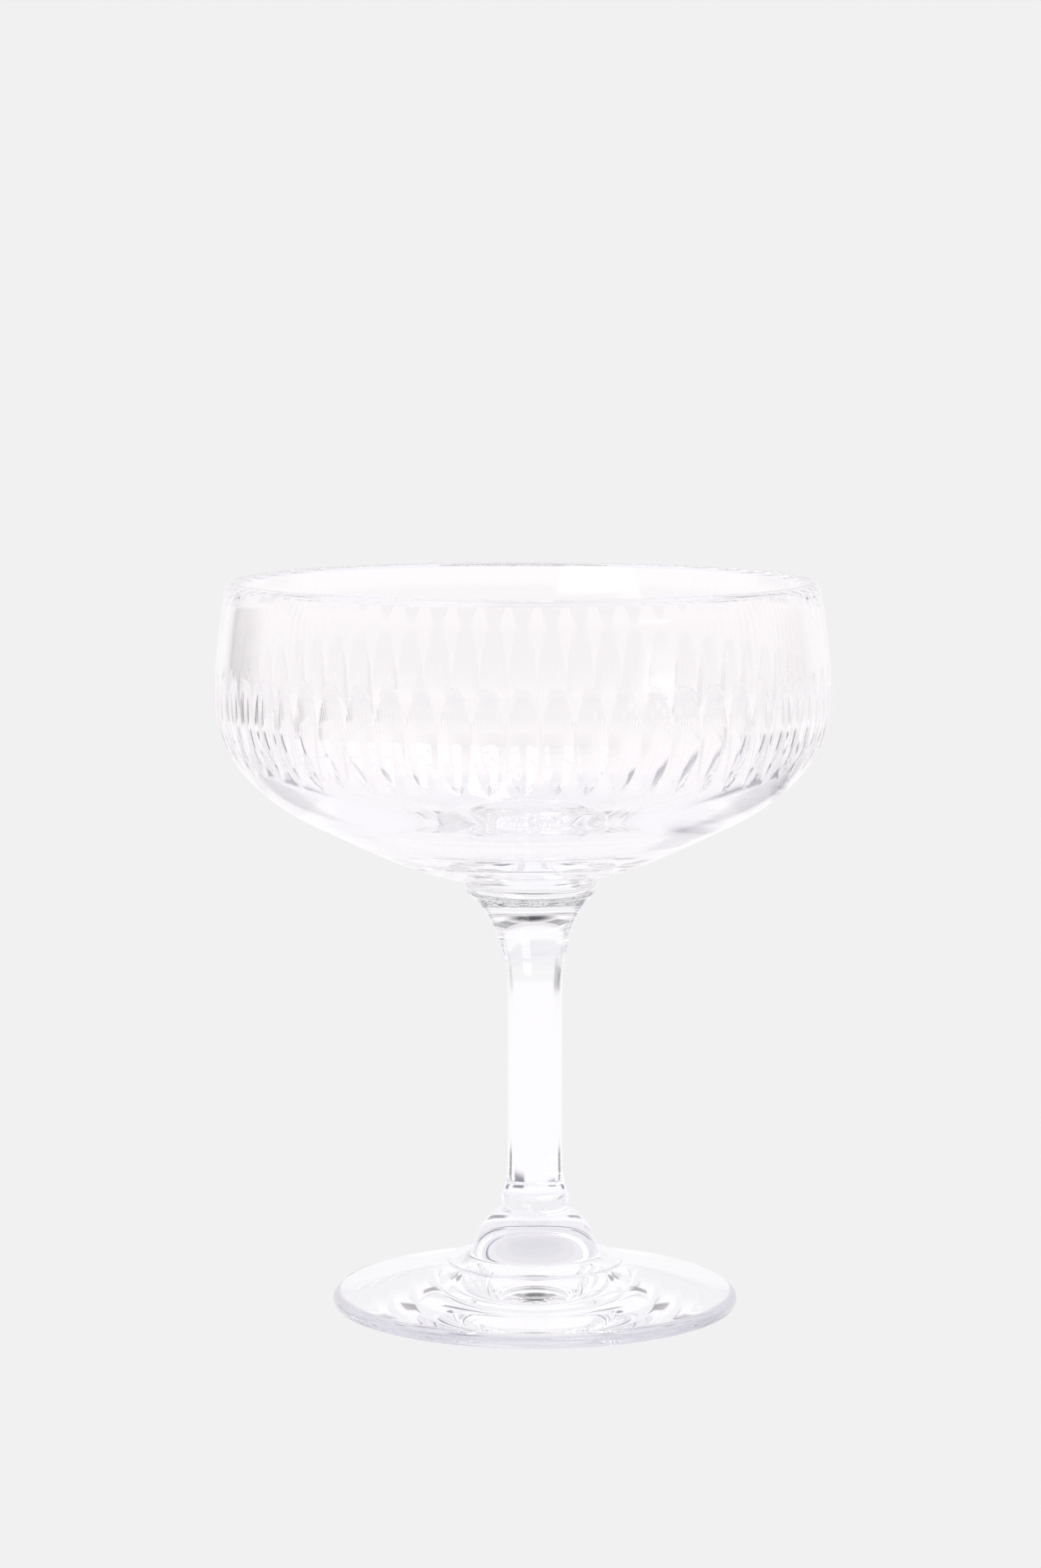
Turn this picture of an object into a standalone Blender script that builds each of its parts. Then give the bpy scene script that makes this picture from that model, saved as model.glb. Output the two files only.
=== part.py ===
"""Hand-cut crystal champagne coupe: a cut bowl on a merese, stem, ring, domed knop and spread foot.

The glass stands on Z = 0 with its bowl on the Z axis. The six pieces are stacked from the foot up,
each one a turned solid with a small gap to its neighbour where hot glass would fuse them. It is set
by hand, so the stem and foot stand a little to the +X side of the bowl's middle.
"""
from math import atan, cos, pi, radians, sin

import bmesh
import bpy
from mathutils import Vector

# ---- driving dimensions, in metres ----------------------------------------------------------
GAP = 0.0003                  # left between two touching pieces
ROUND_STEPS = 48              # sides of the small turned pieces
FOOT_STEPS = 72

FOOT_RADIUS = 0.0352
FOOT_TOP_Z = 0.0070           # flat seat under the knop
FOOT_SEAT_RADIUS = 0.0152
FOOT_SLOPE_Z = 0.0024         # height of the upper face where the edge starts to round over
FOOT_HOLLOW = 0.0016          # how far the underside is hollowed at its centre
FOOT_REST_OUTER = 0.0343      # flat ring that the glass stands on
FOOT_REST_INNER = 0.0320

KNOP_HEIGHT = 0.0087
KNOP_BASE_RADIUS = 0.0151
KNOP_LIP = 0.00035            # thickness of the knop's thin lower edge
KNOP_WAIST_RADIUS = 0.0109    # foot of the dome, where it sweeps out to the lip
KNOP_TOP_RADIUS = 0.0059

RING_HEIGHT = 0.0035
RING_RADIUS = 0.0057
RING_NECK_RADIUS = 0.0053

STEM_HEIGHT = 0.0506
STEM_RADIUS = 0.00465
STEM_FOOT_RADIUS = 0.00525    # the stem swells a little just above the ring
STEM_SWELL_HEIGHT = 0.0080
TRUMPET_RADIUS = 0.0104       # the stem opens out like a trumpet under the merese
TRUMPET_HEIGHT = 0.0150

MERESE_HEIGHT = 0.0028
MERESE_RADIUS = 0.0115
MERESE_FACE_RADIUS = 0.0106   # flat faces above and below the rounded edge

STEM_OFFSET_X = 0.0021        # hand-set: the stem stands this far from the middle of the bowl
MERESE_OFFSET_X = 0.0013

BOWL_HEIGHT = 0.0508
BOWL_SEAT_RADIUS = 0.0125     # flat underside that meets the merese
BOWL_BASE_RADIUS = 0.03665    # where the shallow cone of the underside meets the shoulder
BOWL_BASE_HEIGHT = 0.0098
BOWL_BASE_SLOPE = 0.48        # rise over run of the cone at its outer end
BOWL_SEAT_SLOPE = 0.19        # and at its inner end
BELLY_RADIUS = 0.05245        # widest place
BELLY_HEIGHT = 0.0298
RIM_RADIUS = 0.05025
SHOULDER_PULL_TOP = 0.0080    # how far each end of the shoulder keeps its own direction
SHOULDER_PULL_BASE = 0.00975

RIM_WALL = 0.0022             # wall thickness at the rim, the belly and the middle of the base
BELLY_WALL = 0.0028
BASE_WALL = 0.0048
INNER_FLOOR_RADIUS = 0.0270   # where the inside stops being a shallow dish
INNER_FLOOR_RISE = 0.0035

CUT_COUNT = 60                # spear cuts round the belly
CUT_TOP_HEIGHT = 0.0360       # upper and lower points of a cut, above the bowl's seat
CUT_FOOT_HEIGHT = 0.0195
CUT_DEPTH = 0.0008
CUT_WHEEL_RADIUS = 0.0046     # hollow of the wheel that ground them
CUT_SPINE_POINTS = 6
CUT_OVERRUN = 1.18            # the wheel leaves the glass past both points

# ---- heights that follow from them -----------------------------------------------------------
KNOP_Z = FOOT_TOP_Z + GAP
RING_Z = KNOP_Z + KNOP_HEIGHT + GAP
STEM_Z = RING_Z + RING_HEIGHT + GAP
MERESE_Z = STEM_Z + STEM_HEIGHT + GAP
BOWL_Z = MERESE_Z + MERESE_HEIGHT + GAP

CRYSTAL_COLOUR = (0.93, 0.94, 0.96, 1.0)
FOOT_COLOUR = (0.90, 0.91, 0.95, 1.0)
CRYSTAL_ROUGHNESS = 0.03
CRYSTAL_IOR = 1.54


# ---- outlines: (radius, height) points, from the top down the outer side ----------------------
def curve(start, start_pull, end_pull, end, steps):
    """Points of a cubic curve between two ends, the start left out."""
    points = []
    for i in range(1, steps + 1):
        t = i / steps
        s = 1.0 - t
        weights = (s * s * s, 3 * s * s * t, 3 * s * t * t, t * t * t)
        corners = (start, start_pull, end_pull, end)
        points.append(tuple(sum(w * c[axis] for w, c in zip(weights, corners)) for axis in (0, 1)))
    return points


def arc(centre, radius, from_angle, to_angle, steps):
    """Points of an arc, both ends included. Angles in degrees, 0 outwards and 90 upwards."""
    points = []
    for i in range(steps + 1):
        angle = radians(from_angle + (to_angle - from_angle) * i / steps)
        points.append((centre[0] + radius * cos(angle), centre[1] + radius * sin(angle)))
    return points


def upper_wall_radius(height):
    """Outer radius of the bowl between the belly and the rim: a shallow parabola."""
    t = (height - BELLY_HEIGHT) / (BOWL_HEIGHT - BELLY_HEIGHT)
    return BELLY_RADIUS - (BELLY_RADIUS - RIM_RADIUS) * t * t


def shoulder(steps):
    """The round shoulder, from the belly down to the shallow cone of the underside."""
    lean = atan(BOWL_BASE_SLOPE)
    start = (BELLY_RADIUS, BELLY_HEIGHT)
    end = (BOWL_BASE_RADIUS, BOWL_BASE_HEIGHT)
    start_pull = (BELLY_RADIUS, BELLY_HEIGHT - SHOULDER_PULL_TOP)
    end_pull = (end[0] + SHOULDER_PULL_BASE * cos(lean), end[1] + SHOULDER_PULL_BASE * sin(lean))
    return curve(start, start_pull, end_pull, end, steps)


def underside(steps):
    """The shallow cone under the bowl, flattening towards the merese."""
    start = (BOWL_BASE_RADIUS, BOWL_BASE_HEIGHT)
    end = (BOWL_SEAT_RADIUS, 0.0)
    run = (start[0] - end[0]) / 3
    start_pull = (start[0] - run, start[1] - run * BOWL_BASE_SLOPE)
    end_pull = (end[0] + run, end[1] + run * BOWL_SEAT_SLOPE)
    return curve(start, start_pull, end_pull, end, steps)


def bowl_outside(wall_steps, shoulder_steps, underside_steps):
    """Outer side of the bowl from just under the lip to the seat."""
    top = BOWL_HEIGHT - RIM_WALL / 2
    points = []
    for i in range(wall_steps + 1):
        height = top + (BELLY_HEIGHT - top) * i / wall_steps
        points.append((upper_wall_radius(height), height))
    return points + shoulder(shoulder_steps) + underside(underside_steps)


def bowl_inside():
    """Inner side of the bowl, from the middle of its floor up to just under the lip."""
    rim = (RIM_RADIUS - RIM_WALL, BOWL_HEIGHT - RIM_WALL / 2)
    belly = (BELLY_RADIUS - BELLY_WALL, BELLY_HEIGHT)
    floor_edge = (INNER_FLOOR_RADIUS, BASE_WALL + INNER_FLOOR_RISE)
    dish = curve((0.0, BASE_WALL), (0.010, BASE_WALL), (0.0195, BASE_WALL + 0.0004), floor_edge, 3)
    corner = curve(floor_edge, (0.0375, 0.0140), (belly[0], 0.0190), belly, 6)
    wall = curve(belly, (belly[0], 0.0370), (rim[0] + 0.0008, 0.0440), rim, 2)
    return [(0.0, BASE_WALL)] + dish + corner + wall


def bowl_outline():
    """The whole section of the bowl: up the inside, over the round lip and down the outside."""
    lip_centre = (RIM_RADIUS - RIM_WALL / 2, BOWL_HEIGHT - RIM_WALL / 2)
    lip = arc(lip_centre, RIM_WALL / 2, 180, 0, 3)[1:-1]
    return bowl_inside() + lip + bowl_outside(2, 8, 3) + [(0.0, 0.0)]


def merese_outline():
    """A flat button of glass with a rounded edge."""
    face = (MERESE_FACE_RADIUS, MERESE_HEIGHT)
    pull = (MERESE_RADIUS + 0.0003, MERESE_HEIGHT * 0.85)
    pull_low = (MERESE_RADIUS + 0.0002, MERESE_HEIGHT * 0.25)
    edge = curve(face, pull, pull_low, (MERESE_FACE_RADIUS - 0.0002, 0.0), 7)
    return [(0.0, MERESE_HEIGHT), face] + edge + [(0.0, 0.0)]


def stem_outline():
    """A plain round stem that opens out like a trumpet at the top and swells at the foot."""
    top = (TRUMPET_RADIUS, STEM_HEIGHT)
    throat = (STEM_RADIUS, STEM_HEIGHT - TRUMPET_HEIGHT)
    trumpet = curve(top, (0.0072, STEM_HEIGHT - 0.0030), (0.0050, STEM_HEIGHT - 0.0090), throat, 9)
    swell_top = (STEM_RADIUS, STEM_SWELL_HEIGHT)
    swell = curve(swell_top, (STEM_RADIUS, 0.0040), (0.0049, 0.0015), (STEM_FOOT_RADIUS, 0.0), 4)
    return [(0.0, STEM_HEIGHT), top] + trumpet + [swell_top] + swell + [(0.0, 0.0)]


def ring_outline():
    """A bead with a groove near its lower edge."""
    groove_height = RING_HEIGHT * 0.14
    top = (RING_NECK_RADIUS, RING_HEIGHT)
    bulge = RING_RADIUS + 0.0002
    bead = curve(top, (bulge, RING_HEIGHT * 0.8), (bulge, RING_HEIGHT * 0.4),
                 (RING_NECK_RADIUS, groove_height), 6)
    return [(0.0, RING_HEIGHT), top] + bead + [(RING_RADIUS - 0.0002, 0.0), (0.0, 0.0)]


def knop_outline():
    """A domed knop whose foot sweeps out to a thin lip on the foot."""
    top = (KNOP_TOP_RADIUS, KNOP_HEIGHT)
    waist = (KNOP_WAIST_RADIUS, 0.0014)
    lip = (KNOP_BASE_RADIUS, KNOP_LIP)
    dome = curve(top, (0.0087, KNOP_HEIGHT - 0.0008), (0.0102, KNOP_HEIGHT - 0.0042), waist, 8)
    sweep = curve(waist, (0.0115, 0.0009), (0.0130, 0.0005), lip, 4)
    return [(0.0, KNOP_HEIGHT), top] + dome + sweep + [(KNOP_BASE_RADIUS, 0.0), (0.0, 0.0)]


def foot_outline():
    """A disc that slopes to a rounded edge, hollowed underneath so that it stands on a ring."""
    seat = (FOOT_SEAT_RADIUS, FOOT_TOP_Z)
    shoulder_end = (FOOT_RADIUS - 0.0017, FOOT_SLOPE_Z)
    slope = curve(seat, (0.0215, 0.0052), (0.0275, 0.0036), shoulder_end, 3)
    edge = curve(shoulder_end, (FOOT_RADIUS + 0.0001, FOOT_SLOPE_Z - 0.0003),
                 (FOOT_RADIUS + 0.0003, 0.0002), (FOOT_REST_OUTER, 0.0), 5)
    rest = (FOOT_REST_INNER, 0.0)
    hollow = curve(rest, (0.0240, 0.0007), (0.0120, FOOT_HOLLOW), (0.0, FOOT_HOLLOW), 3)
    return [(0.0, FOOT_TOP_Z), seat] + slope + edge + [rest] + hollow


# ---- tools ------------------------------------------------------------------------------------
def clear_scene():
    for item in list(bpy.data.objects):
        bpy.data.objects.remove(item, do_unlink=True)


def new_collection(name):
    collection = bpy.data.collections.new(name)
    bpy.context.scene.collection.children.link(collection)
    return collection


def crystal(name, colour):
    """Clear polished glass."""
    material = bpy.data.materials.new(name)
    material.use_nodes = True
    shader = material.node_tree.nodes["Principled BSDF"]
    shader.inputs["Base Color"].default_value = colour
    shader.inputs["Roughness"].default_value = CRYSTAL_ROUGHNESS
    shader.inputs["Metallic"].default_value = 0.0
    shader.inputs["IOR"].default_value = CRYSTAL_IOR
    shader.inputs["Transmission Weight"].default_value = 1.0
    material.diffuse_color = colour
    return material


def turned(name, outline, steps, collection, material):
    """A solid of revolution about its own Z axis, from an outline that runs down its outer side."""
    mesh = bpy.data.meshes.new(name)
    vertices = [(radius, 0.0, height) for radius, height in outline]
    edges = [(i, i + 1) for i in range(len(vertices) - 1)]
    mesh.from_pydata(vertices, edges, [])
    piece = bpy.data.objects.new(name, mesh)
    collection.objects.link(piece)
    screw = piece.modifiers.new("turn", "SCREW")
    screw.axis = "Z"
    screw.angle = 2 * pi
    screw.steps = steps
    screw.render_steps = steps
    screw.use_smooth_shade = True
    screw.use_merge_vertices = True
    screw.merge_threshold = 0.00002
    mesh.materials.append(material)
    return piece


# ---- the ring of cuts --------------------------------------------------------------------------
def outer_radius_at(height):
    """Outer radius of the bowl at a height above its seat, by walking down its outline."""
    if height >= BELLY_HEIGHT:
        return upper_wall_radius(height)
    above = (BELLY_RADIUS, BELLY_HEIGHT)
    for below in shoulder(40):
        if below[1] <= height:
            t = (height - above[1]) / (below[1] - above[1])
            return above[0] + (below[0] - above[0]) * t
        above = below
    return above[0]


def cut_spine():
    """Middle line of the grinding wheel's path over the belly, deepest half way down."""
    middle = (CUT_TOP_HEIGHT + CUT_FOOT_HEIGHT) / 2
    half = (CUT_TOP_HEIGHT - CUT_FOOT_HEIGHT) / 2
    spine = []
    for i in range(CUT_SPINE_POINTS):
        along = CUT_OVERRUN * (1 - 2 * i / (CUT_SPINE_POINTS - 1))
        height = middle + half * along
        radius = outer_radius_at(height)
        lean = atan((outer_radius_at(height + 0.0005) - outer_radius_at(height - 0.0005)) / 0.001)
        stand_off = CUT_WHEEL_RADIUS - CUT_DEPTH * (1 - along * along)
        spine.append((radius + stand_off * cos(lean), height - stand_off * sin(lean)))
    return spine


def wheel_path(collection):
    """One tube along the wheel's path, made a closed mesh."""
    data = bpy.data.curves.new("wheel_path", "CURVE")
    data.dimensions = "3D"
    data.bevel_depth = CUT_WHEEL_RADIUS
    data.bevel_resolution = 4
    data.use_fill_caps = True
    spline = data.splines.new("POLY")
    points = cut_spine()
    spline.points.add(len(points) - 1)
    for point, (radius, height) in zip(spline.points, points):
        point.co = (radius, 0.0, height, 1.0)
    guide = bpy.data.objects.new("wheel_path", data)
    collection.objects.link(guide)
    depsgraph = bpy.context.evaluated_depsgraph_get()
    mesh = bpy.data.meshes.new_from_object(guide.evaluated_get(depsgraph))
    bpy.data.objects.remove(guide, do_unlink=True)
    return mesh


def spear_cutter(collection):
    """The wheel's path repeated round the bowl, as one cutter."""
    mesh = wheel_path(collection)
    form = bmesh.new()
    form.from_mesh(mesh)
    bmesh.ops.remove_doubles(form, verts=form.verts, dist=0.00001)
    bmesh.ops.spin(form, geom=form.verts[:] + form.edges[:] + form.faces[:], cent=(0, 0, 0),
                   axis=(0, 0, 1), angle=2 * pi * (CUT_COUNT - 1) / CUT_COUNT,
                   steps=CUT_COUNT - 1, use_duplicate=True)
    bmesh.ops.recalc_face_normals(form, faces=form.faces)
    form.to_mesh(mesh)
    form.free()
    cutter = bpy.data.objects.new("spear_cutter", mesh)
    collection.objects.link(cutter)
    cutter.hide_render = True
    cutter.display_type = "WIRE"
    return cutter


def cut_spears(bowl, cutter):
    boolean = bowl.modifiers.new("spear_cuts", "BOOLEAN")
    boolean.operation = "DIFFERENCE"
    boolean.solver = "EXACT"
    boolean.use_self = True
    boolean.object = cutter


# ---- the glass ---------------------------------------------------------------------------------
def main():
    clear_scene()
    pieces = new_collection("champagne_coupe")
    cutters = new_collection("cutters")

    axis = bpy.data.objects.new("bowl_axis", None)
    pieces.objects.link(axis)

    stack = (
        ("foot", foot_outline(), FOOT_STEPS, STEM_OFFSET_X, 0.0, FOOT_COLOUR),
        ("foot_knop", knop_outline(), ROUND_STEPS, STEM_OFFSET_X, KNOP_Z, FOOT_COLOUR),
        ("stem_ring", ring_outline(), ROUND_STEPS, STEM_OFFSET_X, RING_Z, CRYSTAL_COLOUR),
        ("stem", stem_outline(), ROUND_STEPS, STEM_OFFSET_X, STEM_Z, CRYSTAL_COLOUR),
        ("merese", merese_outline(), ROUND_STEPS, MERESE_OFFSET_X, MERESE_Z, CRYSTAL_COLOUR),
        ("bowl", bowl_outline(), 2 * CUT_COUNT, 0.0, BOWL_Z, CRYSTAL_COLOUR),
    )
    for name, outline, steps, offset, seat, colour in stack:
        piece = turned(name, outline, steps, pieces, crystal(name + "_glass", colour))
        piece.location = Vector((offset, 0.0, seat))
        piece.parent = axis

    bowl = bpy.data.objects["bowl"]
    cutter = spear_cutter(cutters)
    cutter.location = bowl.location
    cut_spears(bowl, cutter)


main()
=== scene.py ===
"""Looks of a hand-cut crystal champagne coupe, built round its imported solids.

Six pieces of clear crystal stand one on another: bowl, merese, stem, ring, domed knop and foot. Each is a
closed solid of its own. Where two of them are fused, the faces they share are marked and given a finish
that doesn't show, so that light passes from one piece into the next as it does in fused glass.
"""

from math import atan, cos, degrees, pi, radians, sin, sqrt

import bpy
import numpy as np
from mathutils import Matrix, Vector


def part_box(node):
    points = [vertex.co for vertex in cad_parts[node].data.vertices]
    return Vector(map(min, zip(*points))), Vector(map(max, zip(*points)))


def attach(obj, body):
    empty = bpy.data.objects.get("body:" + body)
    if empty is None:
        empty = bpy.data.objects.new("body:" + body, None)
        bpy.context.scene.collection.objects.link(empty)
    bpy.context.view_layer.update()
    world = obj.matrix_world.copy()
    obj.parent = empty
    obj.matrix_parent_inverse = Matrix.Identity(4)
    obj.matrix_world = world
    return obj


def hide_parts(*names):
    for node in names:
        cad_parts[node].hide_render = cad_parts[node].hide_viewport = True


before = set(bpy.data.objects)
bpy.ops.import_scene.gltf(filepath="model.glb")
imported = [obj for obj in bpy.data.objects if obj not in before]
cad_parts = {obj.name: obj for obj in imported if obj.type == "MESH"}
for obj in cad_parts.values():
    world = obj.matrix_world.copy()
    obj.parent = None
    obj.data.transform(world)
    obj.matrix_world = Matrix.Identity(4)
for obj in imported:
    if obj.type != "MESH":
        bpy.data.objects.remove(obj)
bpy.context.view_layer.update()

BODY = "root"

# ---- sizes, in metres, beyond those that the frame gives ------------------------------------------
# PULLS are the two points that a curve is pulled towards between its ends.
TURN_STEPS = 192              # sides of the turned pieces
LIP_STEPS = 16                # facets round the lip
BOWL_STEPS = 5                # fineness of the bowl's section
BOWL_CREASE = 14              # edges sharper than this, in degrees, stay crisp
TURNED_CREASE = 35

RIM_WALL = 0.0022             # wall at the lip, at the belly and in the middle of the base
BELLY_WALL = 0.0028
BASE_WALL = 0.0048
BELLY_UP = 0.0298             # widest place above the bowl's seat
RIM_DRAW_IN = 0.0022          # how much narrower the lip is than the belly
BASE_RADIUS = 0.03665         # where the shallow cone of the underside meets the shoulder
BASE_UP = 0.0098
BASE_SLOPE = 0.48
SEAT_SLOPE = 0.19
SEAT_RADIUS = 0.0125
FLOOR_RADIUS = 0.0270         # where the floor of the bowl turns up into its shoulder
FLOOR_RISE = 0.0035
FLOOR_PULLS = ((0.0100, 0.0), (0.0195, 0.0004))         # radius, height above the floor
SHOULDER_PULL = (0.0375, 0.0140)                        # radius, height above the seat
INNER_BELLY_PULL_UP = 0.0190
INNER_WALL_PULL_UP = 0.0370
INNER_LIP_PULL = (0.0008, 0.0440)                       # outwards from the lip, height above the seat
BELLY_PULL_DOWN = 0.0080
BASE_PULL = 0.00975                                     # along the slope of the underside

CUTS = 60
CUT_TOP_UP = 0.0360           # upper and lower point of a cut above the bowl's seat
CUT_FOOT_UP = 0.0195
CUT_DEPTH = 0.00080
CUT_WIDTH = 0.97              # widest part of a cut, as a share of its room round the belly
CUT_COLUMNS = 4               # faces from the middle of a cut to its edge, and on to the panel's edge
LAND_COLUMNS = 2
NO_CUT = 2.0                  # place along a cut that stands for well away from it
NARROWEST = 0.10              # how the panel's columns narrow towards a cut's points, as shares of it
WIDEST = 0.667
WIDENING = 0.9
WELD = 0.000002               # points of two panels nearer than this become one
SAME_HEIGHT = 0.000001
SAME_RADIUS = 0.00001

MERESE_FACE = 0.0106          # flat parts of the merese, where it is fused to the bowl and to the stem
MERESE_FOOT = MERESE_FACE - 0.0002
MERESE_PULLS = ((0.0003, 0.85), (0.0002, 0.25))         # outwards from its radius, share of its height
LEAN_DROP = 0.0110            # how far below its top the stem starts to drift towards the merese
LEAN_EASE = 0.35
TRUMPET_HEIGHT = 0.0150
TRUMPET_PULLS = ((0.0072, 0.0030), (0.0050, 0.0090))    # radius, depth below the merese
STEM_RADIUS = 0.00465
STEM_FOOT = 0.00525
SWELL_HEIGHT = 0.0080
SWELL_PULLS = ((STEM_RADIUS, 0.0040), (0.0049, 0.0015))     # radius, height above the ring
BEAD_BULGE = 0.0002           # how far the bead's pull points stand outside its radius
BEAD_PULLS_UP = (0.8, 0.4)    # shares of the ring's height, as are the next two
GROOVE_UP = 0.14
RING_FLARE_UP = 0.06
RING_NECK = 0.0053
KNOP_TOP = 0.0059
KNOP_WAIST = 0.0109
KNOP_WAIST_UP = 0.0014        # above the knop's foot
KNOP_LIP = 0.00035
DOME_PULLS = ((0.0087, 0.0009), (0.0102, 0.0043))       # radius, depth below the knop's top
SWEEP_PULLS = ((0.0115, 0.0009), (0.0130, 0.0005))      # radius, height above the knop's foot
KNOP_TURN_PULLS = ((0.0001, 0.0002), (0.0, 0.0001))     # outwards, down from the lip or up from the joint
SLOPE_PULLS = ((0.0215, 0.0053), (0.0275, 0.0036))      # radius, height
FOOT_EDGE_IN = 0.0017
FOOT_EDGE_UP = 0.0024
FOOT_EDGE_PULLS = ((0.0001, 0.0003), (0.0003, 0.0002))  # outwards, down from the edge or up from the table
FOOT_REST = (0.0320, 0.0343)  # flat ring that the glass stands on
FOOT_HOLLOW = 0.0016
HOLLOW_PULLS = ((0.0240, 0.0007), (0.0120, FOOT_HOLLOW))    # radius, height


# ---- outlines: lists of (radius, height) that run down a piece's outer side ----------------------
def curve(start, start_pull, end_pull, end, steps):
    """Points of a cubic curve, the start left out."""
    t = np.linspace(0.0, 1.0, steps + 1)[1:, None]
    corners = [np.array(corner) for corner in (start, start_pull, end_pull, end)]
    s = 1.0 - t
    points = s**3 * corners[0] + 3 * s * s * t * corners[1] + 3 * s * t * t * corners[2] + t**3 * corners[3]
    return [tuple(point) for point in points]


def between(a, b, share):
    return tuple(x + (y - x) * share for x, y in zip(a, b))


def line(start, end, steps):
    """Evenly spaced points of a straight stretch, the start left out."""
    return curve(start, between(start, end, 1 / 3), between(start, end, 2 / 3), end, steps)


class Seat:
    """Where a solid of the frame stands: its middle, its foot, its top and its largest radius."""

    def __init__(self, node):
        low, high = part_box(node)
        self.x = (low.x + high.x) / 2
        self.low = low.z
        self.high = high.z
        self.radius = (high.x - low.x) / 2


bowl_seat = Seat("bowl")
merese_seat = Seat("merese")
stem_seat = Seat("stem")
ring_seat = Seat("stem_ring")
knop_seat = Seat("foot_knop")
foot_seat = Seat("foot")


def joint_height(upper, lower):
    """Middle of the gap between two pieces, where they are fused."""
    return (upper.low + lower.high) / 2


BOWL_JOINT = joint_height(bowl_seat, merese_seat)
MERESE_JOINT = joint_height(merese_seat, stem_seat)
STEM_JOINT = joint_height(stem_seat, ring_seat)
RING_JOINT = joint_height(ring_seat, knop_seat)
KNOP_JOINT = joint_height(knop_seat, foot_seat)
LEAN_END = stem_seat.high - LEAN_DROP


def axis_x(height):
    """The stem's middle drifts towards the merese over the trumpet, as it was drawn by hand."""
    if height >= BOWL_JOINT:
        return merese_seat.x
    if height <= LEAN_END:
        return stem_seat.x
    t = (height - LEAN_END) / (BOWL_JOINT - LEAN_END)
    return stem_seat.x + (merese_seat.x - stem_seat.x) * t * (2.0 - t) ** LEAN_EASE


# ---- bowl ------------------------------------------------------------------------------------------
def wall_radius(up):
    """Outer radius between belly and lip, a shallow parabola; up is the height above the seat."""
    t = (up - BELLY_UP) / (bowl_seat.high - bowl_seat.low - BELLY_UP)
    return bowl_seat.radius - RIM_DRAW_IN * t * t


def bowl_section():
    """Section of the bowl from the middle of its floor, up, over the lip and down to its seat.

    Returns the points and the place in the list of the first point of the outer side.
    """
    fine = BOWL_STEPS
    height = bowl_seat.high - bowl_seat.low
    belly = (bowl_seat.radius, BELLY_UP)
    inner_belly = (bowl_seat.radius - BELLY_WALL, BELLY_UP)
    rim_radius = bowl_seat.radius - RIM_DRAW_IN
    lip_up = height - RIM_WALL / 2
    inner_rim = (rim_radius - RIM_WALL, lip_up)
    floor_edge = (FLOOR_RADIUS, BASE_WALL + FLOOR_RISE)

    pulls = [(r, BASE_WALL + up) for r, up in FLOOR_PULLS]
    lip_pull = (inner_rim[0] + INNER_LIP_PULL[0], INNER_LIP_PULL[1])
    points = [(0.0, BASE_WALL)]
    points += curve(points[0], *pulls, floor_edge, 2 * fine)
    points += curve(floor_edge, SHOULDER_PULL, (inner_belly[0], INNER_BELLY_PULL_UP), inner_belly, 3 * fine)
    points += curve(inner_belly, (inner_belly[0], INNER_WALL_PULL_UP), lip_pull, inner_rim, fine)
    for i in range(1, LIP_STEPS):
        angle = radians(180 - 180 * i / LIP_STEPS)
        points.append((rim_radius - RIM_WALL / 2 * (1 - cos(angle)), lip_up + RIM_WALL / 2 * sin(angle)))
    outer_start = len(points)
    rows = 5 * fine
    for i in range(rows + 1):
        up = lip_up + (BELLY_UP - lip_up) * i / rows
        points.append((wall_radius(up), up))
    lean = atan(BASE_SLOPE)
    base = (BASE_RADIUS, BASE_UP)
    pull = (base[0] + BASE_PULL * cos(lean), base[1] + BASE_PULL * sin(lean))
    points += curve(belly, (belly[0], BELLY_UP - BELLY_PULL_DOWN), pull, base, 6 * fine)
    seat = (SEAT_RADIUS, 0.0)
    run = (base[0] - seat[0]) / 3
    points += curve(base, (base[0] - run, base[1] - run * BASE_SLOPE),
                    (seat[0] + run, SEAT_SLOPE * run), seat, 2 * fine)
    return [(r, bowl_seat.low + up) for r, up in points], outer_start


def cut_place(height):
    """Place along a cut: 1 at its upper point, -1 at its lower point."""
    top = bowl_seat.low + CUT_TOP_UP
    foot = bowl_seat.low + CUT_FOOT_UP
    return (2 * height - top - foot) / (top - foot)


def hollow_curvature():
    """Curvature of wheel and wall together, from how deep and how wide a cut is where it is widest."""
    half_width = CUT_WIDTH * pi * bowl_seat.radius / CUTS
    return 2 * CUT_DEPTH / half_width**2


def cut_half_width(place):
    """Half the width of a cut at a place along it, as a share of its room round the belly."""
    return CUT_WIDTH * sqrt(max(0.0, 1 - place * place))


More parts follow.
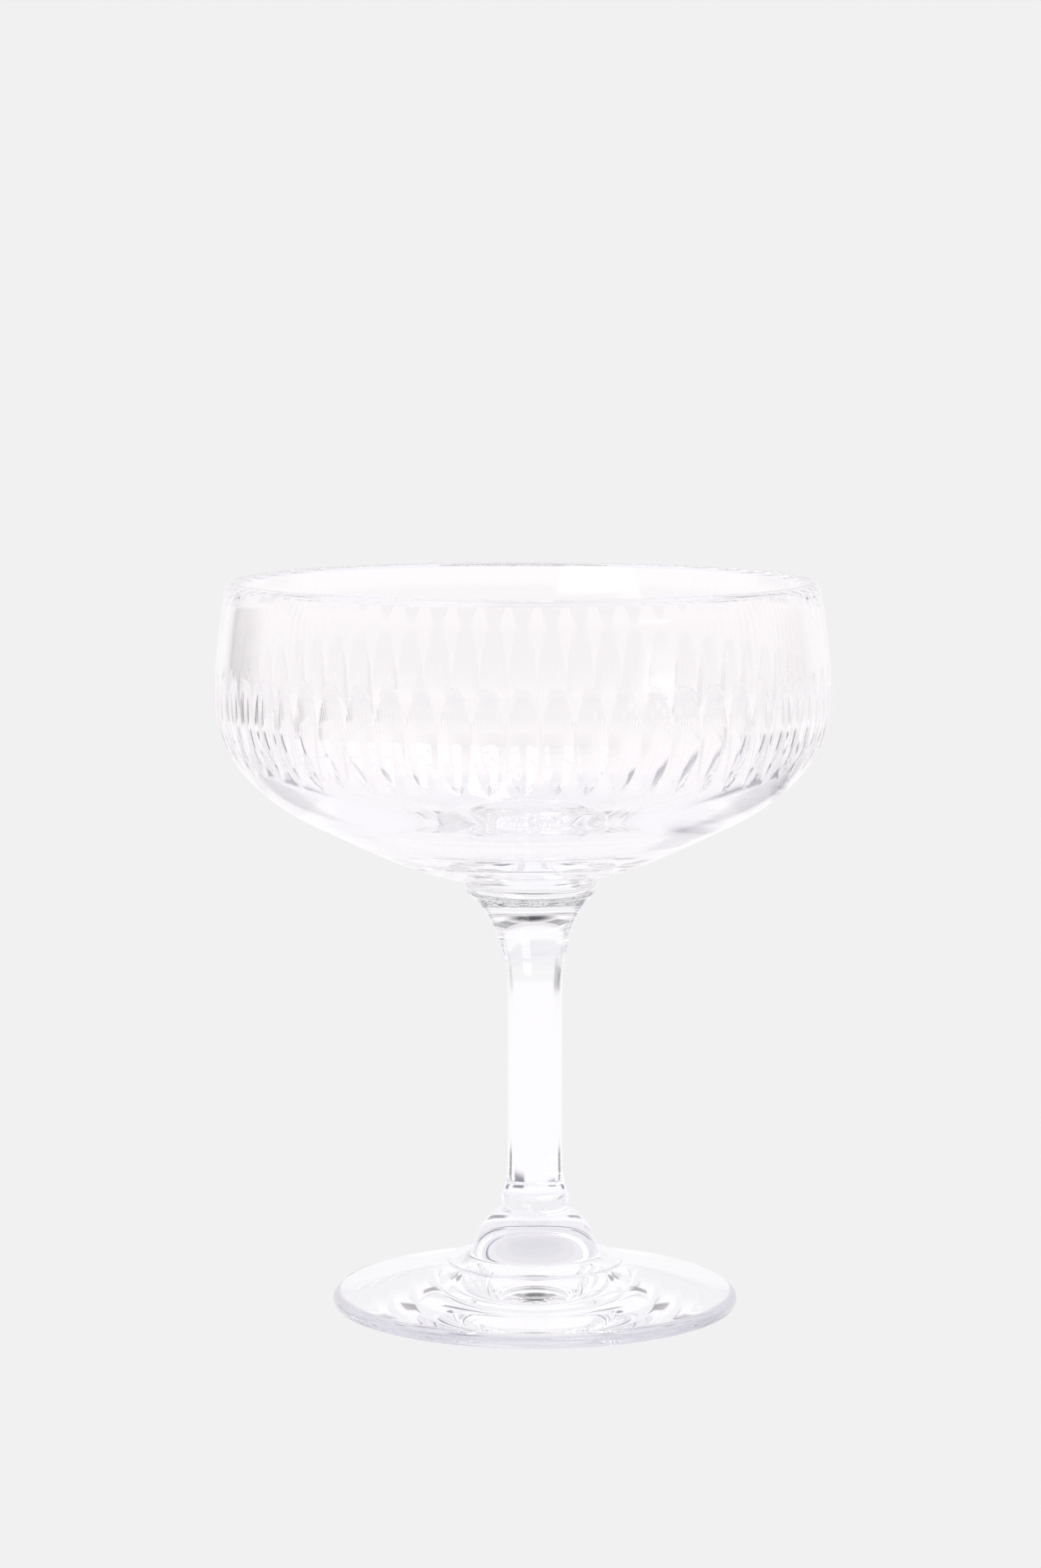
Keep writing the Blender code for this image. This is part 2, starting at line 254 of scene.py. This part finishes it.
def bowl_panel():
    """One sixtieth of the bowl, as a mesh that carries where the wheel touches it.

    Its columns run along the edges of the cut, so that the edges come out crisp.
    """
    section, outer_start = bowl_section()
    section[-1] = (SEAT_RADIUS, BOWL_JOINT)
    section += [(MERESE_FACE, BOWL_JOINT), (0.0, BOWL_JOINT)]
    half = pi / CUTS
    rows = []
    for i, (r, z) in enumerate(section):
        place = cut_place(z) if i >= outer_start else NO_CUT
        width = cut_half_width(place)
        if abs(place) >= 1:
            width = min(WIDEST, NARROWEST + WIDENING * (abs(place) - 1))
        width = max(width, NARROWEST)
        shares = [width * k / CUT_COLUMNS for k in range(CUT_COLUMNS + 1)]
        shares += [width + (1 - width) * k / LAND_COLUMNS for k in range(1, LAND_COLUMNS + 1)]
        shares = [-s for s in reversed(shares[1:])] + shares
        rows.append((r, z, place, shares))

    columns = len(rows[0][3])
    verts, places, across, inward = [], [], [], []
    for i, (r, z, place, shares) in enumerate(rows):
        before = section[max(i - 1, 0)]
        after = section[min(i + 1, len(section) - 1)]
        run, rise = after[0] - before[0], after[1] - before[1]
        size = max(sqrt(run * run + rise * rise), 1e-9)
        for share in shares:
            angle = half * share
            verts.append((r * cos(angle), r * sin(angle), z))
            places.append(place)
            across.append(r * angle)
            inward.append((rise / size * cos(angle), rise / size * sin(angle), -run / size))
    faces, fused = [], []
    for i in range(len(rows) - 1):
        for k in range(columns - 1):
            a, b = i * columns + k, (i + 1) * columns + k
            faces.append((a, b, b + 1, a + 1))
            fused.append(i == len(rows) - 2)
    mesh = bpy.data.meshes.new("bowl_panel")
    mesh.from_pydata(verts, [], faces)
    store(mesh, "place", "FLOAT", "POINT", places)
    store(mesh, "across", "FLOAT", "POINT", across)
    store(mesh, "inward", "FLOAT_VECTOR", "POINT", inward)
    store(mesh, "fused", "BOOLEAN", "FACE", fused)
    return mesh


def store(mesh, name, kind, domain, values):
    attribute = mesh.attributes.new(name, kind, domain)
    field = "vector" if kind == "FLOAT_VECTOR" else "value"
    attribute.data.foreach_set(field, np.array(values).ravel())


# ---- node trees ------------------------------------------------------------------------------------
class Tree:
    """Small helper that adds nodes to a tree and links them."""

    def __init__(self, tree):
        self.tree = tree

    def add(self, kind, inputs=None, **settings):
        node = self.tree.nodes.new(kind)
        for name, value in settings.items():
            setattr(node, name, value)
        for key, value in (inputs or {}).items():
            self.put(node.inputs[key], value)
        return node

    def put(self, socket, value):
        if isinstance(value, bpy.types.Node):
            value = value.outputs[0]
        if isinstance(value, bpy.types.NodeSocket):
            self.tree.links.new(value, socket)
        else:
            socket.default_value = value

    def math(self, operation, a, b=0.0):
        return self.add("ShaderNodeMath", {0: a, 1: b}, operation=operation)


def spear_cut_tree():
    """Grinds one cut into a panel of the bowl and repeats the panel all the way round."""
    group = bpy.data.node_groups.new("spear_cuts", "GeometryNodeTree")
    face = group.interface
    face.new_socket("Geometry", in_out="INPUT", socket_type="NodeSocketGeometry")
    face.new_socket("Cuts", in_out="INPUT", socket_type="NodeSocketInt")
    face.new_socket("Cut depth", in_out="INPUT", socket_type="NodeSocketFloat")
    face.new_socket("Wheel and wall curvature", in_out="INPUT", socket_type="NodeSocketFloat")
    face.new_socket("Crystal", in_out="INPUT", socket_type="NodeSocketMaterial")
    face.new_socket("Fused face", in_out="INPUT", socket_type="NodeSocketMaterial")
    face.new_socket("Geometry", in_out="OUTPUT", socket_type="NodeSocketGeometry")
    tree = Tree(group)
    given = tree.add("NodeGroupInput")

    place = tree.add("GeometryNodeInputNamedAttribute", {"Name": "place"}, data_type="FLOAT")
    across = tree.add("GeometryNodeInputNamedAttribute", {"Name": "across"}, data_type="FLOAT")
    inward = tree.add("GeometryNodeInputNamedAttribute", {"Name": "inward"}, data_type="FLOAT_VECTOR")
    fused = tree.add("GeometryNodeInputNamedAttribute", {"Name": "fused"}, data_type="BOOLEAN")

    along = tree.math("SUBTRACT", 1.0, tree.math("MULTIPLY", place, place))
    deep = tree.math("MULTIPLY", along, given.outputs["Cut depth"])
    side = tree.math("MULTIPLY", across, across)
    side = tree.math("MULTIPLY", side, given.outputs["Wheel and wall curvature"])
    ground = tree.math("SUBTRACT", deep, tree.math("MULTIPLY", side, 0.5))
    ground = tree.math("MAXIMUM", ground, 0.0)
    offset = tree.add("ShaderNodeVectorMath", {0: inward, "Scale": ground}, operation="SCALE")
    panel = tree.add("GeometryNodeSetPosition",
                     {"Geometry": given.outputs["Geometry"], "Offset": offset})

    one_turn = tree.math("DIVIDE", 2 * pi, given.outputs["Cuts"])
    turn = tree.math("MULTIPLY", one_turn, tree.add("GeometryNodeInputIndex"))
    facing = tree.add("ShaderNodeCombineXYZ", {"Z": turn})
    places = tree.add("GeometryNodePoints", {"Count": given.outputs["Cuts"]})
    ring = tree.add("GeometryNodeInstanceOnPoints",
                    {"Points": places, "Instance": panel, "Rotation": facing})
    real = tree.add("GeometryNodeRealizeInstances", {"Geometry": ring})
    weld = tree.add("GeometryNodeMergeByDistance", {"Geometry": real, "Distance": WELD})
    clear = tree.add("GeometryNodeSetMaterial",
                     {"Geometry": weld, "Material": given.outputs["Crystal"]})
    shown = tree.add("GeometryNodeSetMaterial",
                     {"Geometry": clear, "Selection": fused, "Material": given.outputs["Fused face"]})
    out = tree.add("NodeGroupOutput")
    tree.put(out.inputs["Geometry"], shown)
    return group


def bake_tree(name, mesh, group, values):
    """Runs a node tree on a mesh and returns a plain object with the result."""
    source = bpy.data.objects.new(name + "_source", mesh)
    bpy.context.scene.collection.objects.link(source)
    modifier = source.modifiers.new("tree", "NODES")
    modifier.node_group = group
    for item in group.interface.items_tree:
        if item.in_out == "INPUT" and item.name in values:
            modifier[item.identifier] = values[item.name]
    source.update_tag()
    evaluated = source.evaluated_get(bpy.context.evaluated_depsgraph_get())
    made = bpy.data.meshes.new_from_object(evaluated)
    bpy.data.objects.remove(source, do_unlink=True)
    made.name = name
    piece = bpy.data.objects.new(name, made)
    bpy.context.scene.collection.objects.link(piece)
    return piece


def make_bowl(crystal, fused):
    piece = bake_tree("cut_bowl", bowl_panel(), spear_cut_tree(), {
        "Cuts": CUTS,
        "Cut depth": CUT_DEPTH,
        "Wheel and wall curvature": hollow_curvature(),
        "Crystal": crystal,
        "Fused face": fused,
    })
    for vertex in piece.data.vertices:
        on_joint = abs(vertex.co.z - BOWL_JOINT) < SAME_HEIGHT
        if on_joint and vertex.co.xy.length < MERESE_FACE + SAME_RADIUS:
            vertex.co.x += axis_x(BOWL_JOINT)
    finish_mesh(piece, BOWL_CREASE)
    return piece


# ---- turned pieces ---------------------------------------------------------------------------------
def turned(name, outline, crystal, fused):
    """A closed solid from an outline that starts and ends on the axis. Flat ends are fused faces."""
    rings = outline[1:-1]
    angles = np.linspace(0.0, 2 * pi, TURN_STEPS, endpoint=False)
    verts = [(axis_x(outline[0][1]), 0.0, outline[0][1])]
    for r, z in rings:
        verts += [(axis_x(z) + r * cos(a), r * sin(a), z) for a in angles]
    verts.append((axis_x(outline[-1][1]), 0.0, outline[-1][1]))
    faces, slots = [], []
    last = len(verts) - 1
    for k in range(TURN_STEPS):
        j = (k + 1) % TURN_STEPS
        faces.append((0, 1 + k, 1 + j))
        slots.append(int(rings[0][1] == outline[0][1]))
        for i in range(len(rings) - 1):
            a, b = 1 + i * TURN_STEPS, 1 + (i + 1) * TURN_STEPS
            faces.append((a + k, b + k, b + j, a + j))
            slots.append(0)
        a = 1 + (len(rings) - 1) * TURN_STEPS
        faces.append((a + k, last, a + j))
        slots.append(int(rings[-1][1] == outline[-1][1]))
    mesh = bpy.data.meshes.new(name)
    mesh.from_pydata(verts, [], faces)
    mesh.materials.append(crystal)
    mesh.materials.append(fused)
    mesh.polygons.foreach_set("material_index", slots)
    piece = bpy.data.objects.new(name, mesh)
    bpy.context.scene.collection.objects.link(piece)
    finish_mesh(piece, TURNED_CREASE)
    return piece


def finish_mesh(piece, sharp_angle):
    """Drops the attributes that the node tree needed and shades the piece smooth between its creases."""
    mesh = piece.data
    for name in ("place", "across", "inward", "fused"):
        if name in mesh.attributes:
            mesh.attributes.remove(mesh.attributes[name])
    mesh.validate()
    mesh.shade_smooth()
    mesh.set_sharp_from_angle(angle=radians(sharp_angle))


def merese_outline():
    top = (MERESE_FACE, BOWL_JOINT)
    foot = (MERESE_FOOT, MERESE_JOINT)
    height = BOWL_JOINT - MERESE_JOINT
    pulls = [(merese_seat.radius + out, MERESE_JOINT + share * height) for out, share in MERESE_PULLS]
    edge = curve(top, *pulls, foot, steps=24)
    return [(0.0, BOWL_JOINT), top] + edge + [(0.0, MERESE_JOINT)]


def stem_outline():
    top = (MERESE_FOOT, MERESE_JOINT)
    throat = (STEM_RADIUS, MERESE_JOINT - TRUMPET_HEIGHT)
    trumpet = curve(top, *[(r, MERESE_JOINT - down) for r, down in TRUMPET_PULLS], throat, steps=40)
    swell_top = (STEM_RADIUS, STEM_JOINT + SWELL_HEIGHT)
    shaft = line(throat, swell_top, steps=12)
    swell = curve(swell_top, *[(r, STEM_JOINT + up) for r, up in SWELL_PULLS],
                  (STEM_FOOT, STEM_JOINT), steps=14)
    return [(0.0, MERESE_JOINT), top] + trumpet + shaft + swell + [(0.0, STEM_JOINT)]


def ring_outline():
    height = STEM_JOINT - RING_JOINT
    top = (STEM_FOOT, STEM_JOINT)
    bulge = ring_seat.radius + BEAD_BULGE
    groove = (RING_NECK, RING_JOINT + GROOVE_UP * height)
    flare = RING_JOINT + RING_FLARE_UP * height
    bead = curve(top, *[(bulge, RING_JOINT + share * height) for share in BEAD_PULLS_UP], groove, steps=20)
    foot = curve(groove, (RING_NECK, flare), (KNOP_TOP, flare), (KNOP_TOP, RING_JOINT), steps=8)
    return [(0.0, STEM_JOINT), top] + bead + foot + [(0.0, RING_JOINT)]


def knop_outline():
    top = (KNOP_TOP, RING_JOINT)
    foot = knop_seat.low
    waist = (KNOP_WAIST, foot + KNOP_WAIST_UP)
    lip = (knop_seat.radius, foot + KNOP_LIP)
    (upper_out, upper_down), (lower_out, lower_up) = KNOP_TURN_PULLS
    dome = curve(top, *[(r, RING_JOINT - down) for r, down in DOME_PULLS], waist, steps=30)
    sweep = curve(waist, *[(r, foot + up) for r, up in SWEEP_PULLS], lip, steps=14)
    turn = curve(lip, (lip[0] + upper_out, lip[1] - upper_down), (lip[0] + lower_out, KNOP_JOINT + lower_up),
                 (lip[0], KNOP_JOINT), steps=4)
    return [(0.0, RING_JOINT), top] + dome + sweep + turn + [(0.0, KNOP_JOINT)]


def foot_outline():
    seat = (knop_seat.radius, KNOP_JOINT)
    edge_top = (foot_seat.radius - FOOT_EDGE_IN, FOOT_EDGE_UP)
    rest_in, rest_out = FOOT_REST
    (upper_out, upper_down), (lower_out, lower_up) = FOOT_EDGE_PULLS
    slope = curve(seat, *SLOPE_PULLS, edge_top, steps=30)
    edge = curve(edge_top, (foot_seat.radius + upper_out, FOOT_EDGE_UP - upper_down),
                 (foot_seat.radius + lower_out, lower_up), (rest_out, 0.0), steps=18)
    rest = line((rest_out, 0.0), (rest_in, 0.0), steps=2)
    hollow = curve((rest_in, 0.0), *HOLLOW_PULLS, (0.0, FOOT_HOLLOW), steps=24)
    return [(0.0, KNOP_JOINT), seat] + slope + edge + rest + hollow


# ---- finishes --------------------------------------------------------------------------------------
CRYSTAL_IOR = 1.54            # lead crystal
CLOUD_SIZE = 28.0
BOWL_TINTS = ((0.995, 0.985, 0.99, 1.0), (0.985, 0.975, 0.985, 1.0))        # lightest, deepest
STEM_TINTS = ((0.985, 0.985, 0.995, 1.0), (0.97, 0.97, 0.985, 1.0))
FOOT_TINTS = ((0.985, 0.985, 0.992, 1.0), (0.975, 0.975, 0.988, 1.0))
# painted shade: the darker lilac colour of the band round the foot's edge, standing in for light's long path
# through the glass
EDGE_PAINTED_SHADE = (0.74, 0.73, 0.79, 1.0)
EDGE_SHADE_WIDTH = 0.0011            # band at the foot's edge that is seen end on, painted deeper in colour: painted shade for the long path of light through it
EDGE_SHADE_FADE = 0.0006
BOWL_RIPPLES = (30.0, 0.00002)      # size of the noise, depth in metres
STEM_RIPPLES = (60.0, 0.00003)
FOOT_RIPPLES = (40.0, 0.00001)


def new_material(name):
    material = bpy.data.materials.new(name)
    material.use_nodes = True
    tree = Tree(material.node_tree)
    shader = material.node_tree.nodes["Principled BSDF"]
    return material, tree, shader


def blend(tree, factor, first, second):
    """Mixes two colours; either may be a plain colour or a node's colour socket."""
    mix = tree.add("ShaderNodeMix", {"Factor": factor}, data_type="RGBA")
    tree.put(mix.inputs[6], first)
    tree.put(mix.inputs[7], second)
    return mix.outputs[2]


def crystal_finish(name, tints, ripples, edge_shade=None):
    """Clear lead crystal: hardly any tint, a fire-polished skin with slow ripples from the hand, and where
    asked a band of painted shade round the foot's edge.
    """
    material, tree, shader = new_material(name)
    light, deep = tints
    ripple_size, ripple_depth = ripples
    place = tree.add("ShaderNodeTexCoord").outputs["Object"]
    cloud = tree.add("ShaderNodeTexNoise", {"Vector": place, "Scale": CLOUD_SIZE, "Detail": 2.0})
    colour = blend(tree, cloud, light, deep)
    # painted shade: darkens the colour in a band round the foot's edge, standing in for light's long path
    # through the glass seen end on
    if edge_shade:
        shade_start = foot_seat.radius - EDGE_SHADE_WIDTH
        spot = tree.add("ShaderNodeVectorMath", {0: place, 1: (foot_seat.x, 0.0, 0.0)}, operation="SUBTRACT")
        flat = tree.add("ShaderNodeVectorMath", {0: spot, 1: (1.0, 1.0, 0.0)}, operation="MULTIPLY")
        reach = tree.add("ShaderNodeVectorMath", {0: flat}, operation="LENGTH").outputs["Value"]
        shade_band = tree.add("ShaderNodeMapRange",
                       {"Value": reach, "From Min": shade_start - EDGE_SHADE_FADE, "From Max": shade_start},
                       interpolation_type="SMOOTHSTEP")
        colour = blend(tree, shade_band, colour, edge_shade)
    tree.put(shader.inputs["Base Color"], colour)
    ripple = tree.add("ShaderNodeTexNoise", {"Vector": place, "Scale": ripple_size, "Detail": 1.0})
    bump = tree.add("ShaderNodeBump", {"Height": ripple, "Strength": 1.0, "Distance": ripple_depth})
    tree.put(shader.inputs["Normal"], bump)
    shader.inputs["Roughness"].default_value = 0.0
    shader.inputs["IOR"].default_value = CRYSTAL_IOR
    shader.inputs["Transmission Weight"].default_value = 1.0
    return material


def fused_finish():
    """The faces inside the glass, where two pieces are one: nothing to see."""
    material, _, shader = new_material("fused_glass")
    shader.inputs["Alpha"].default_value = 0.0
    return material


# ---- studio ----------------------------------------------------------------------------------------
BACKDROP_GREY = (0.879, 0.879, 0.879, 1.0)
PAPER_LIGHT = (1.02, 1.006, 1.012, 1.0)
FLOOR_HALF = 3.0              # metres
FLOOR_DROP = 0.00005          # keeps the floor clear of the glass's rest
CAMERA_PLACE = (-0.0004, -0.712, 0.171)
CAMERA_DOWN = 6.5             # degrees
CAMERA_LENS = 96.46           # millimetres, as is the next
CAMERA_SENSOR = 36.0
LIGHT_BOUNCES = 128           # thick glass leads light through many reflections before it comes out
CLEAR_BOUNCES = 64
# Panels round the glass: across (middle, half width, blur), upright (middle, half height, blur), colour.
# Angles in degrees; 0 is behind the glass, 90 to its right and 180 behind the camera.
STUDIO_PANELS = (
    (180, 85, 25, 0, 40, 20, (0.88, 0.87, 0.88)),
    (0, 180, 1, 0, 4, 3, (0.956, 0.946, 0.948)),
    (0, 70, 20, 9, 4, 4, (0.90, 0.89, 0.91)),
    (0, 180, 1, -90, 60, 12, (0.97, 0.962, 0.995)),
    (28, 8, 6, -29, 6, 6, (0.26, 0.25, 0.30)),
    (-29, 6, 5, -31, 4, 5, (0.34, 0.33, 0.38)),
    (-48, 10, 8, -2, 5, 3, (0.58, 0.565, 0.57)),
    (-50, 3, 3, -3, 3, 3, (0.40, 0.39, 0.40)),
    (55, 7, 6, -2, 5, 3, (0.80, 0.78, 0.79)),
    (-58, 5, 4, -23, 8, 4, (0.28, 0.27, 0.29)),
    (58, 5, 4, -23, 8, 4, (0.30, 0.29, 0.30)),
    (180, 70, 15, 45, 13, 5, (0.40, 0.40, 0.41)),
    (0, 180, 1, 90, 8, 26, (0.04, 0.04, 0.05)),
    (128, 5, 3, 2, 1, 2, (2.0, 2.0, 2.0)),
    (-147, 17, 2, -27, 4, 2, (3.0, 3.0, 3.0)),
    (-147, 17, 2, -45, 10, 1, (3.0, 3.0, 3.0)),
    (-147, 17, 2, -72, 8, 1, (3.0, 3.0, 3.0)),
)


def soft_edge(tree, value, middle, half, blur, around):
    """1 where a value lies within half of the middle, fading to 0 over the blur."""
    away = tree.math("SUBTRACT", value, middle)
    if around:
        away = tree.add("ShaderNodeMath", {0: away, 1: 180.0, 2: -180.0}, operation="WRAP")
    away = tree.math("ABSOLUTE", away)
    return tree.add("ShaderNodeMapRange", {"Value": away, "From Min": half + blur, "From Max": half},
                    interpolation_type="SMOOTHSTEP")


def make_world():
    """Plain grey for the camera, and for the glass a room of pale paper with soft panels in it."""
    world = bpy.data.worlds.new("studio")
    bpy.context.scene.world = world
    world.use_nodes = True
    world.node_tree.nodes.clear()
    tree = Tree(world.node_tree)
    parts = tree.add("ShaderNodeSeparateXYZ", {0: tree.add("ShaderNodeTexCoord").outputs["Generated"]})
    turn = tree.math("ARCTAN2", parts.outputs["X"], parts.outputs["Y"])
    turn = tree.math("MULTIPLY", turn, degrees(1))
    rise = tree.math("MULTIPLY", tree.math("ARCSINE", parts.outputs["Z"]), degrees(1))
    room = PAPER_LIGHT
    for middle, half, blur, height, half_height, blur_height, colour in STUDIO_PANELS:
        across = soft_edge(tree, turn, middle, half, blur, True)
        upright = soft_edge(tree, rise, height, half_height, blur_height, False)
        room = blend(tree, tree.math("MULTIPLY", across, upright), room, (*colour, 1.0))
    seen = tree.add("ShaderNodeLightPath").outputs["Is Camera Ray"]
    light = tree.add("ShaderNodeBackground", {"Color": blend(tree, seen, room, BACKDROP_GREY)})
    out = tree.add("ShaderNodeOutputWorld")
    tree.put(out.inputs["Surface"], light)


def make_floor():
    """Pale sweep that the glass stands on. The glass itself is lit by the studio alone."""
    half = FLOOR_HALF
    corners = [(-half, -half, 0), (half, -half, 0), (half, half, 0), (-half, half, 0)]
    mesh = bpy.data.meshes.new("floor")
    mesh.from_pydata(corners, [], [(0, 1, 2, 3)])
    floor = bpy.data.objects.new("floor", mesh)
    bpy.context.scene.collection.objects.link(floor)
    floor.location.z = -FLOOR_DROP
    material = bpy.data.materials.new("pale_floor")
    material.use_nodes = True
    material.node_tree.nodes.clear()
    tree = Tree(material.node_tree)
    seen = tree.add("ShaderNodeLightPath").outputs["Is Camera Ray"]
    paper = tree.add("ShaderNodeEmission", {"Color": BACKDROP_GREY})
    mix = tree.add("ShaderNodeMixShader", {0: seen, 1: tree.add("ShaderNodeBsdfTransparent"), 2: paper})
    out = tree.add("ShaderNodeOutputMaterial")
    tree.put(out.inputs["Surface"], mix)
    mesh.materials.append(material)


def make_camera():
    """Stands a little above the rim and looks slightly down."""
    data = bpy.data.cameras.new("camera")
    data.sensor_fit = "VERTICAL"
    data.sensor_height = CAMERA_SENSOR
    data.lens = CAMERA_LENS
    camera = bpy.data.objects.new("camera", data)
    bpy.context.scene.collection.objects.link(camera)
    camera.location = CAMERA_PLACE
    camera.rotation_euler = (radians(90 - CAMERA_DOWN), 0.0, 0.0)
    bpy.context.scene.camera = camera


# ---- the glass ---------------------------------------------------------------------------------------
def main():
    scene = bpy.context.scene
    scene.view_settings.view_transform = "Standard"
    scene.cycles.max_bounces = LIGHT_BOUNCES
    scene.cycles.transmission_bounces = LIGHT_BOUNCES
    scene.cycles.glossy_bounces = LIGHT_BOUNCES
    scene.cycles.transparent_max_bounces = CLEAR_BOUNCES
    make_camera()
    make_world()
    make_floor()

    fused = fused_finish()
    thin = crystal_finish("bowl_crystal", BOWL_TINTS, BOWL_RIPPLES)
    thick = crystal_finish("stem_crystal", STEM_TINTS, STEM_RIPPLES)
    # the foot's finish carries the painted shade round its edge
    base = crystal_finish("foot_crystal", FOOT_TINTS, FOOT_RIPPLES, EDGE_PAINTED_SHADE)

    pieces = (
        (make_bowl(thin, fused), "bowl", "bowl_crystal"),
        (turned("round_merese", merese_outline(), thick, fused), "merese", "stem_crystal"),
        (turned("drawn_stem", stem_outline(), thick, fused), "stem", "stem_crystal"),
        (turned("bead_ring", ring_outline(), thick, fused), "stem_ring", "stem_crystal"),
        (turned("domed_knop", knop_outline(), base, fused), "foot_knop", "foot_crystal"),
        (turned("spread_foot", foot_outline(), base, fused), "foot", "foot_crystal"),
    )
    for piece, node, slot in pieces:
        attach(piece, BODY)
        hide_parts(node)


main()
